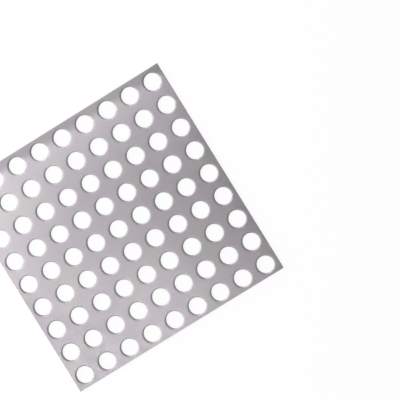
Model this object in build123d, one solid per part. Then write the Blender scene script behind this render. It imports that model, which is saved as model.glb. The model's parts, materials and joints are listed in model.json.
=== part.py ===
"""A square of perforated metal sheet: round holes punched on a straight grid, sheared between the rows.

One piece of stock. Millimetres, +Z up, lying flat on Z = 0. The sheet is centred on the origin.
It was cut from a larger sheet, and each cut fell at a slightly different distance from the holes,
so the grid lies a little off the centre, towards the left and front edges.
"""

import os

from build123d import *

# ---- sizes ----------------------------------------------------------------------------------
sheet_thickness = 2.0

hole_diameter = 8.0
pitch_x = 12.0  # centre to centre along a row
pitch_y = 12.0  # centre to centre from row to row
holes_in_row = 9
rows = 9

# margins: from the outermost hole centres to the sheared edge
margin_left = 5.8  # at -X
margin_right = 6.1  # at +X
margin_front = 5.5  # at -Y
margin_back = 6.0  # at +Y

shear_roll = 0.2  # how far the shear draws the sheet's upper edge in and down

# ---- placing --------------------------------------------------------------------------------
sheet_length = (holes_in_row - 1) * pitch_x + margin_left + margin_right
sheet_width = (rows - 1) * pitch_y + margin_front + margin_back
grid_centre = ((margin_left - margin_right) / 2, (margin_front - margin_back) / 2)


def perforated_profile():
    """The sheet's outline with the whole grid of holes in it."""
    with BuildSketch() as profile:
        Rectangle(sheet_length, sheet_width)
        with Locations(grid_centre):
            with GridLocations(pitch_x, pitch_y, holes_in_row, rows):
                Circle(hole_diameter / 2, mode=Mode.SUBTRACT)
    return profile.sketch


def perforated_sheet():
    """The profile at the sheet's thickness, with the sheared outline's upper edge drawn in."""
    with BuildPart() as sheet:
        add(perforated_profile())
        extrude(amount=sheet_thickness)
        upper_face = sheet.faces().sort_by(Axis.Z)[-1]
        chamfer(upper_face.outer_wire().edges(), length=shear_roll)
    return sheet.part


os.makedirs("parts", exist_ok=True)
export_step(perforated_sheet(), "parts/perforated_sheet.step")
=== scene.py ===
"""A square of perforated metal sheet, lying flat on a white floor and seen from almost straight above."""

import json
import math

import bmesh
import bpy
from mathutils import Matrix, Vector


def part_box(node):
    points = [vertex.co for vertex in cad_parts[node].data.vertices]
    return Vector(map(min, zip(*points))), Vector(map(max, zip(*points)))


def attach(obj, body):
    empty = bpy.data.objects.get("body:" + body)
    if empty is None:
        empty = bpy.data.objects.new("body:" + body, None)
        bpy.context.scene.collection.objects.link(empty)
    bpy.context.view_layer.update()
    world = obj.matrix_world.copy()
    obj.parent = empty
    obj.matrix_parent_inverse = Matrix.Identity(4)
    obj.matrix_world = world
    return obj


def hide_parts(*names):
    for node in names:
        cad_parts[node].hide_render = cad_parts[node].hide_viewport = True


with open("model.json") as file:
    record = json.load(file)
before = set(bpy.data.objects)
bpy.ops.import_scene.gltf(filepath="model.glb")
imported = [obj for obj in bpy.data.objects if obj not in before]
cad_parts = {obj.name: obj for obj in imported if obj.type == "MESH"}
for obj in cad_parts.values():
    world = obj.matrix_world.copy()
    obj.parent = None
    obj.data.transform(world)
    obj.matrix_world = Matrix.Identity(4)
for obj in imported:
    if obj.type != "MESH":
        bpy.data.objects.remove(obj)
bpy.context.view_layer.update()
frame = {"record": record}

MM = 0.001

# ---------------------------------------------------------------- the sheet's sizes, in metres
low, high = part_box("perforated_sheet")
THICKNESS = high[2] - low[2]

bores = [mount for mount in frame["record"]["mounts"] if mount["kind"] == "bore"]
first_x, last_x = min(m["pos_m"][0] for m in bores), max(m["pos_m"][0] for m in bores)
first_y, last_y = min(m["pos_m"][1] for m in bores), max(m["pos_m"][1] for m in bores)
HOLES_IN_ROW = 9
PITCH = (last_x - first_x) / (HOLES_IN_ROW - 1)
HOLE_R = bores[0]["dims"]["r_mm"] * MM

# Edges: the face rolls down where the punch or the blade entered, and the far side keeps a small break.
PUNCH_ROLL_WIDTH, PUNCH_ROLL_DEPTH = 0.58 * MM, 0.32 * MM
SHEAR_ROLL = 0.20 * MM
BREAK = 0.05 * MM

# Mesh
SEGMENTS = 48  # round each hole; a multiple of 8, so that neighbouring cells share their corners
ROLL_STEPS = 6
STEEP_SHARE = 0.1  # of the roll's width: nearer to the wall than this, the roll has the wall's material
FLAT_MARGIN = 0.6 * MM  # from a hole's edge to the next ring of the flat face
WALL_RINGS = (0.6, 0.3)  # heights on a hole's wall, as shares of the thickness
ALONG_SIDE = 1.01 * SHEAR_ROLL  # a point of the border lies along a side of the outline that is this near
MERGE_DISTANCE = 0.001 * MM
CREASE_ANGLE = math.radians(40)
FACE, WALL = 0, 1  # material slots

# ---------------------------------------------------------------- looks
# A noise has about 1 / scale metres between its features.
NOISE_SPAN = (0.3, 0.7)  # nearly all values of a noise lie in here

# The faces: two greys in patches, lighter and darker clouds, and a fine grain along X. Both starts, both
# scales and the clouds' shades came out of a search for the best fit to the shading of the real sheet, so
# the clouds are partly an uneven finish and partly painted light and shade, in place of reflections.
PURPLISH_GREY, NEUTRAL_GREY = (0.507, 0.468, 0.510), (0.506, 0.488, 0.500)
PATCHES = dict(scale=50, detail=1.0, start=(2.0653, 3.2563, 0))
PATCH_SPAN = (0.40, 0.72)  # from all purplish to all neutral
MOTTLE_AND_PAINTED_LIGHT = dict(scale=17, detail=1.0, start=(10.206, 4.389, 0.0045))
MOTTLE_AND_PAINTED_LIGHT_SHADES = (0.937, 1.114)
GRAIN = dict(scale=1600, detail=3.0, stretch=(0.04, 1, 1))
GRAIN_SHADES = (0.985, 1.015)
GRAIN_BUMP = dict(distance=0.004 * MM, strength=0.5)
DULL_SPOTS = dict(scale=240, detail=3.0)
FACE_ROUGHNESS = (0.39, 0.45)

# Painted shade: darker bands beside the edges. Painted highlight: the brighter strip that ends at the rear
# band.
EDGE_SHADE_FULL, EDGE_SHADE_WIDTH = 2.5 * MM, 7.0 * MM
REAR_EDGE_SHADE, RIGHT_EDGE_SHADE, FRONT_EDGE_SHADE, LEFT_EDGE_SHADE = 0.70, 0.89, 0.98, 0.97
BAND_WAVER = dict(scale=90, reach=2.0 * MM)
PAINTED_HIGHLIGHT_WIDTH, PAINTED_HIGHLIGHT_SHARE = 20 * MM, 1.06

# The rims, brighter as if rubbed, by how level they lie: 1 is flat, 0 upright
RUBBED_FULL, RUBBED_NONE = 0.85, 0.97
RUBBED_SHARE = 1.55

# The specks: one to a cell, their sizes in cells
SPECK_CELL = 11 * MM
SPECK_CORE, SPECK_END = 0.006, 0.024
SPECK_SHADE = 0.70
SPECK_WAVER = dict(scale=2500, reach=0.06)

# The cut walls: a rough break below and a burnished part above, streaked downwards. Both greys are dark
# partly from the cut metal's own tone and partly from painted shade on the walls.
BREAK_GREY_AND_PAINTED_SHADE, BURNISHED_GREY_AND_PAINTED_SHADE = (0.17, 0.165, 0.17), (0.25, 0.24, 0.25)
BREAK_ROUGHNESS, BURNISHED_ROUGHNESS = 0.75, 0.45
BURNISHED_FROM, BURNISHED_FULL = 0.655 * THICKNESS, 0.735 * THICKNESS
BREAK_WAVER = dict(scale=500, reach=0.5 * MM)
STREAKS = dict(scale=1500, detail=2.0, stretch=(1, 1, 0.08))
STREAK_SHADES = (0.8, 1.2)
STREAK_BUMP = dict(distance=0.03 * MM, strength=0.6)
WALL_METALLIC = 0.6

# The floor and the world
FLOOR_SIZE, FLOOR_DROP = 6, 0.02 * MM
FLOOR_GREY = (0.8, 0.8, 0.8, 1)
GLOW, GLOW_SHARE = 1.08, 0.85  # how brightly the floor shows, and how much of its shading that hides
WORLD_STRENGTH = 0.25

scene = bpy.context.scene


# ---------------------------------------------------------------- mesh
def roll(width, depth):
    """(outward, down) offsets of a rounded edge, from the flat face to the wall."""
    turns = [math.pi / 2 * i / ROLL_STEPS for i in range(ROLL_STEPS + 1)]
    return [(width * (1 - math.sin(turn)), depth * (1 - math.cos(turn))) for turn in turns]


def hole_section():
    """(radius, z, on the wall) of the rings down through one hole, from the upper face to the lower one."""
    rings = [(HOLE_R + PUNCH_ROLL_WIDTH + FLAT_MARGIN, THICKNESS, False)]
    for out, down in roll(PUNCH_ROLL_WIDTH, PUNCH_ROLL_DEPTH):
        rings.append((HOLE_R + out, THICKNESS - down, out < STEEP_SHARE * PUNCH_ROLL_WIDTH))
    for share in WALL_RINGS:
        rings.append((HOLE_R, THICKNESS * share, True))
    rings.append((HOLE_R, BREAK, True))
    rings.append((HOLE_R + BREAK, 0.0, True))
    rings.append((HOLE_R + FLAT_MARGIN, 0.0, False))
    return rings


def cell_outline(column, row, z, inset):
    """The square of sheet round one hole.

    Where it meets the sheet's outline it runs out to the edge, less inset.
    """
    points = []
    for i in range(SEGMENTS):
        angle = 2 * math.pi * i / SEGMENTS
        c, s = math.cos(angle), math.sin(angle)
        reach = PITCH / 2 / max(abs(c), abs(s))
        x, y = c * reach, s * reach
        on_side = [math.isclose(abs(value), PITCH / 2) for value in (x, y)]
        px, py = first_x + column * PITCH + x, first_y + row * PITCH + y
        if on_side[0] and x < 0 and column == 0:
            px = low[0] + inset
        if on_side[0] and x > 0 and column == HOLES_IN_ROW - 1:
            px = high[0] - inset
        if on_side[1] and y < 0 and row == 0:
            py = low[1] + inset
        if on_side[1] and y > 0 and row == HOLES_IN_ROW - 1:
            py = high[1] - inset
        points.append((px, py, z))
    return points


def ring_of(mesh, points):
    return [mesh.verts.new(point) for point in points]


def join_rings(mesh, upper, lower, slot):
    """Faces between two rings of equally many points."""
    for i in range(len(upper)):
        j = (i + 1) % len(upper)
        mesh.faces.new((upper[i], upper[j], lower[j], lower[i])).material_index = slot


def add_cell(mesh, column, row):
    """One hole, with its rolled rim and wall, and the square of sheet round it."""
    cx, cy = first_x + column * PITCH, first_y + row * PITCH
    angles = [2 * math.pi * i / SEGMENTS for i in range(SEGMENTS)]
    last = ring_of(mesh, cell_outline(column, row, THICKNESS, SHEAR_ROLL))
    last_on_wall = False
    for radius, z, on_wall in hole_section():
        ring = ring_of(mesh, [(cx + radius * math.cos(a), cy + radius * math.sin(a), z) for a in angles])
        join_rings(mesh, last, ring, WALL if on_wall and last_on_wall else FACE)
        last, last_on_wall = ring, on_wall
    join_rings(mesh, last, ring_of(mesh, cell_outline(column, row, 0.0, 0.0)), FACE)


def border_of(mesh, on_top):
    """The open border of the upper or the lower face, in order round the sheet."""
    border = [vert for vert in mesh.verts if vert.is_boundary and (vert.co.z > THICKNESS / 2) == on_top]
    return sorted(border, key=lambda vert: math.atan2(vert.co.y, vert.co.x))


def moved_out(vert, out):
    """(x, y) of a point of the border, moved to the distance out inside each side that it lies along."""
    place = [vert.co.x, vert.co.y]
    for axis in (0, 1):
        if place[axis] < low[axis] + ALONG_SIDE:
            place[axis] = low[axis] + out
        if place[axis] > high[axis] - ALONG_SIDE:
            place[axis] = high[axis] - out
    return place


def add_outline(mesh):
    """The sheared outline: its rolled upper edge and its wall down to the lower face."""
    last, lower = border_of(mesh, True), border_of(mesh, False)
    for out, down in roll(SHEAR_ROLL, SHEAR_ROLL)[1:]:
        ring = ring_of(mesh, [(*moved_out(vert, out), THICKNESS - down) for vert in last])
        join_rings(mesh, last, ring, FACE)
        last = ring
    join_rings(mesh, last, lower, WALL)


def build_sheet():
    mesh = bmesh.new()
    for row in range(HOLES_IN_ROW):
        for column in range(HOLES_IN_ROW):
            add_cell(mesh, column, row)
    bmesh.ops.remove_doubles(mesh, verts=mesh.verts, dist=MERGE_DISTANCE)
    add_outline(mesh)
    bmesh.ops.recalc_face_normals(mesh, faces=mesh.faces)
    data = bpy.data.meshes.new("sheet")
    mesh.to_mesh(data)
    mesh.free()
    for face in data.polygons:
        face.use_smooth = True
    data.set_sharp_from_angle(angle=CREASE_ANGLE)
    sheet = bpy.data.objects.new("punched_sheet", data)
    scene.collection.objects.link(sheet)
    flat = sheet.modifiers.new("flat_faces_stay_flat", "WEIGHTED_NORMAL")
    flat.keep_sharp = True
    return sheet


# ---------------------------------------------------------------- shader nodes
def node(tree, kind, **values):
    """A node, with each value on the input of that name or, where it has none, as a setting."""
    made = tree.nodes.new(kind)
    for name, value in values.items():
        if name in made.inputs:
            made.inputs[name].default_value = value
        else:
            setattr(made, name, value)
    return made


def mapped(tree, value, span, to_span):
    """value taken from one range to another, with smooth ends."""
    made = node(tree, "ShaderNodeMapRange", interpolation_type="SMOOTHSTEP")
    tree.links.new(value, made.inputs["Value"])
    made.inputs["From Min"].default_value, made.inputs["From Max"].default_value = span
    made.inputs["To Min"].default_value, made.inputs["To Max"].default_value = to_span
    return made.outputs[0]


def noise(tree, place, scale, detail=1.0, stretch=(1, 1, 1), start=(0, 0, 0)):
    """Noise at a place. A small stretch draws it out along that axis; start is the origin's place in it."""
    moved = node(tree, "ShaderNodeVectorMath", operation="MULTIPLY_ADD")
    moved.inputs[1].default_value = stretch
    moved.inputs[2].default_value = start
    made = node(tree, "ShaderNodeTexNoise", Scale=scale, Detail=detail)
    tree.links.new(place, moved.inputs[0])
    tree.links.new(moved.outputs[0], made.inputs["Vector"])
    return made.outputs[0]


def wavered(tree, place, value, scale, reach):
    """The value, moved up and down by noise within reach, so that what it bounds gets an uneven border."""
    centred = node(tree, "ShaderNodeMath", operation="SUBTRACT")
    tree.links.new(noise(tree, place, scale), centred.inputs[0])
    centred.inputs[1].default_value = 0.5
    made = node(tree, "ShaderNodeMath", operation="MULTIPLY_ADD")
    tree.links.new(centred.outputs[0], made.inputs[0])
    made.inputs[1].default_value = reach
    tree.links.new(value, made.inputs[2])
    return made.outputs[0]


def inside(tree, along, edge):
    """How far a point lies inside an edge across the axis along, for an edge at either end of the axis."""
    made = node(tree, "ShaderNodeMath", operation="MULTIPLY_ADD")
    tree.links.new(along, made.inputs[0])
    made.inputs[1].default_value = -math.copysign(1, edge)
    made.inputs[2].default_value = abs(edge)
    return made.outputs[0]


def level(tree, place):
    """How level the surface lies: 1 on both flat faces, less on a rolled edge and 0 on a wall."""
    normal = node(tree, "ShaderNodeSeparateXYZ")
    tree.links.new(place.node.outputs["Normal"], normal.inputs[0])
    made = node(tree, "ShaderNodeMath", operation="ABSOLUTE")
    tree.links.new(normal.outputs[2], made.inputs[0])
    return made.outputs[0]


def times(tree, colour, value):
    """A colour darkened or lightened by a number."""
    made = node(tree, "ShaderNodeVectorMath", operation="SCALE")
    tree.links.new(colour, made.inputs[0])
    tree.links.new(value, made.inputs["Scale"])
    return made.outputs[0]


def blend(tree, share, first, second):
    """From one colour to another. The Mix node has sockets for each kind of data; these are a colour's."""
    made = node(tree, "ShaderNodeMix", data_type="RGBA")
    share_in, first_in, second_in = made.inputs[0], made.inputs[6], made.inputs[7]
    tree.links.new(share, share_in)
    first_in.default_value = (*first, 1)
    second_in.default_value = (*second, 1)
    return made.outputs[2]


def bumped(tree, height, distance, strength):
    made = node(tree, "ShaderNodeBump", Distance=distance, Strength=strength)
    tree.links.new(height, made.inputs["Height"])
    return made.outputs[0]


# ---------------------------------------------------------------- materials
def new_material(name, metallic):
    """A material, its tree and shader, the place on the object, and that place's three coordinates."""
    material = bpy.data.materials.new(name)
    material.use_nodes = True
    tree = material.node_tree
    shader = tree.nodes["Principled BSDF"]
    shader.inputs["Metallic"].default_value = metallic
    place = node(tree, "ShaderNodeTexCoord").outputs["Object"]
    axes = node(tree, "ShaderNodeSeparateXYZ")
    tree.links.new(place, axes.inputs[0])
    return material, tree, shader, place, axes.outputs


def painted_edge_shade(tree, colour, place, along, edge, share):
    """The colour, darkened with painted shade in a band beside an edge."""
    depth = wavered(tree, place, inside(tree, along, edge), **BAND_WAVER)
    return times(tree, colour, mapped(tree, depth, (EDGE_SHADE_FULL, EDGE_SHADE_WIDTH), (share, 1.0)))


def satin_metal():
    """Bare rolled metal: patches of two greys, clouds partly of painted light, a fine grain and a few
    specks.

    It is darker in a band beside each edge, most at the rear: painted shade. A little brighter strip just
    inside the rear band is a painted highlight. Where an edge rolls down, it is brighter, as if rubbed.
    """
    material, tree, shader, place, (along_x, along_y, _) = new_material("satin_sheet_metal", 1.0)
    link = tree.links.new
    patches = mapped(tree, noise(tree, place, **PATCHES), PATCH_SPAN, (0.0, 1.0))
    colour = blend(tree, patches, PURPLISH_GREY, NEUTRAL_GREY)
    # Clouds: an uneven finish together with painted light and shade
    colour = times(tree, colour, mapped(tree, noise(tree, place, **MOTTLE_AND_PAINTED_LIGHT), NOISE_SPAN, MOTTLE_AND_PAINTED_LIGHT_SHADES))
    grain = noise(tree, place, **GRAIN)
    colour = times(tree, colour, mapped(tree, grain, NOISE_SPAN, GRAIN_SHADES))

    # Painted shade in bands beside the four edges
    colour = painted_edge_shade(tree, colour, place, along_y, high[1], REAR_EDGE_SHADE)
    colour = painted_edge_shade(tree, colour, place, along_x, high[0], RIGHT_EDGE_SHADE)
    colour = painted_edge_shade(tree, colour, place, along_y, low[1], FRONT_EDGE_SHADE)
    colour = painted_edge_shade(tree, colour, place, along_x, low[0], LEFT_EDGE_SHADE)
    # Painted highlight: a brighter strip just inside the rear band
    rear_depth = inside(tree, along_y, high[1])
    painted_highlight = mapped(tree, rear_depth, (EDGE_SHADE_WIDTH, PAINTED_HIGHLIGHT_WIDTH), (PAINTED_HIGHLIGHT_SHARE, 1.0))
    colour = times(tree, colour, painted_highlight)
    rubbed = mapped(tree, level(tree, place), (RUBBED_FULL, RUBBED_NONE), (RUBBED_SHARE, 1.0))
    colour = times(tree, colour, rubbed)

    cells = node(tree, "ShaderNodeTexVoronoi", voronoi_dimensions="2D", Scale=1 / SPECK_CELL)
    link(place, cells.inputs["Vector"])
    distance = wavered(tree, place, cells.outputs["Distance"], **SPECK_WAVER)
    colour = times(tree, colour, mapped(tree, distance, (SPECK_CORE, SPECK_END), (SPECK_SHADE, 1.0)))
    link(colour, shader.inputs["Base Color"])

    roughness = mapped(tree, noise(tree, place, **DULL_SPOTS), NOISE_SPAN, FACE_ROUGHNESS)
    link(roughness, shader.inputs["Roughness"])
    link(bumped(tree, grain, **GRAIN_BUMP), shader.inputs["Normal"])
    return material


def cut_metal_with_painted_shade():
    """The punched and sheared walls, their greys partly painted shade."""
    material, tree, shader, place, (_, _, height) = new_material("cut_metal_with_painted_shade", WALL_METALLIC)
    link = tree.links.new
    streaks = noise(tree, place, **STREAKS)
    border = wavered(tree, place, height, **BREAK_WAVER)
    burnished = mapped(tree, border, (BURNISHED_FROM, BURNISHED_FULL), (0.0, 1.0))
    # Dark greys: the cut's own tone together with painted shade
    colour = blend(tree, burnished, BREAK_GREY_AND_PAINTED_SHADE, BURNISHED_GREY_AND_PAINTED_SHADE)
    link(times(tree, colour, mapped(tree, streaks, NOISE_SPAN, STREAK_SHADES)), shader.inputs["Base Color"])
    roughness = mapped(tree, burnished, (0.0, 1.0), (BREAK_ROUGHNESS, BURNISHED_ROUGHNESS))
    link(roughness, shader.inputs["Roughness"])
    link(bumped(tree, streaks, **STREAK_BUMP), shader.inputs["Normal"])
    return material


sheet = build_sheet()
sheet.data.materials.append(satin_metal())
sheet.data.materials.append(cut_metal_with_painted_shade())
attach(sheet, "root")
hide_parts("perforated_sheet")


# ---------------------------------------------------------------- floor and world
def white_floor():
    """A floor that looks white to the camera and in the metal, and still takes the sheet's shadow."""
    bpy.ops.mesh.primitive_plane_add(size=FLOOR_SIZE, location=(0, 0, -FLOOR_DROP))
    floor = bpy.context.object
    floor.name = "floor"
    material = bpy.data.materials.new("white_floor")
    material.use_nodes = True
    tree = material.node_tree
    tree.nodes.clear()
    link = tree.links.new
    diffuse = node(tree, "ShaderNodeBsdfDiffuse", Color=FLOOR_GREY)
    white = node(tree, "ShaderNodeEmission", Strength=GLOW)
    path = node(tree, "ShaderNodeLightPath")
    seen = path.outputs["Is Camera Ray"]
    for other in ("Is Glossy Ray", "Is Transmission Ray"):
        either = node(tree, "ShaderNodeMath", operation="MAXIMUM")
        link(seen, either.inputs[0])
        link(path.outputs[other], either.inputs[1])
        seen = either.outputs[0]
    share = node(tree, "ShaderNodeMath", operation="MULTIPLY")
    share.inputs[1].default_value = GLOW_SHARE
    mix = node(tree, "ShaderNodeMixShader")
    out = node(tree, "ShaderNodeOutputMaterial")
    link(seen, share.inputs[0])
    link(share.outputs[0], mix.inputs[0])
    link(diffuse.outputs[0], mix.inputs[1])
    link(white.outputs[0], mix.inputs[2])
    link(mix.outputs[0], out.inputs["Surface"])
    floor.data.materials.append(material)


white_floor()

world = bpy.data.worlds.new("studio")
world.use_nodes = True
scene.world = world
background = world.node_tree.nodes["Background"]
background.inputs["Color"].default_value = (1, 1, 1, 1)
background.inputs["Strength"].default_value = WORLD_STRENGTH


# ---------------------------------------------------------------- lights
def softbox(name, place, aim, width, height, power):
    data = bpy.data.lights.new(name, "AREA")
    data.shape = "RECTANGLE"
    data.size, data.size_y = width, height
    data.energy = power
    lamp = bpy.data.objects.new(name, data)
    lamp.location = place
    lamp.rotation_euler = (Vector(aim) - Vector(place)).to_track_quat("-Z", "Y").to_euler()
    lamp.visible_camera = False
    scene.collection.objects.link(lamp)


def overhead(name, x, y, width, height, power):
    """A lamp that faces straight down."""
    softbox(name, (x, y, 0.40), (x, y, 0), width, height, power)


# Three panels overhead shade the face, and two wide low ones light the rolled edges and the walls. Their
# powers came out of a least-squares fit.
overhead("over_rear", -0.12, 0.18, 0.36, 0.12, 0.40)
overhead("over_left", -0.24, 0.06, 0.12, 0.12, 0.29)
overhead("over_front", -0.12, -0.11, 0.12, 0.08, 0.156)
softbox("low_rear", (0.0, 0.62, 0.20), (0, 0, 0), 0.8, 0.4, 1.415)
softbox("low_left", (-0.62, 0.0, 0.20), (0, 0, 0), 0.8, 0.4, 1.315)


# ---------------------------------------------------------------- camera
AZIMUTH, ELEVATION, BANK = (math.radians(degrees) for degrees in (100.07, 83.19, -131.79))
DISTANCE = 1.2307
LENS = 247.5
GRID_MIDDLE = Vector(((first_x + last_x) / 2, (first_y + last_y) / 2, THICKNESS / 2))
AIM = GRID_MIDDLE + Vector((0.03819, -0.00812, 0))  # the sheet lies left of the picture's middle

towards = math.sin(AZIMUTH), -math.cos(AZIMUTH)
back = Vector((towards[0] * math.cos(ELEVATION), towards[1] * math.cos(ELEVATION), math.sin(ELEVATION)))
up = Vector((-towards[0] * math.sin(ELEVATION), -towards[1] * math.sin(ELEVATION), math.cos(ELEVATION)))
right = up.cross(back)
camera_right = math.cos(BANK) * right + math.sin(BANK) * up
camera_up = math.cos(BANK) * up - math.sin(BANK) * right
lens = bpy.data.cameras.new("camera")
lens.lens = LENS
lens.clip_start, lens.clip_end = 0.01, 20
camera = bpy.data.objects.new("camera", lens)
placed = Matrix((camera_right, camera_up, back)).transposed().to_4x4()
placed.translation = AIM + back * DISTANCE
camera.matrix_world = placed
scene.collection.objects.link(camera)
scene.camera = camera

scene.view_settings.view_transform = "Standard"
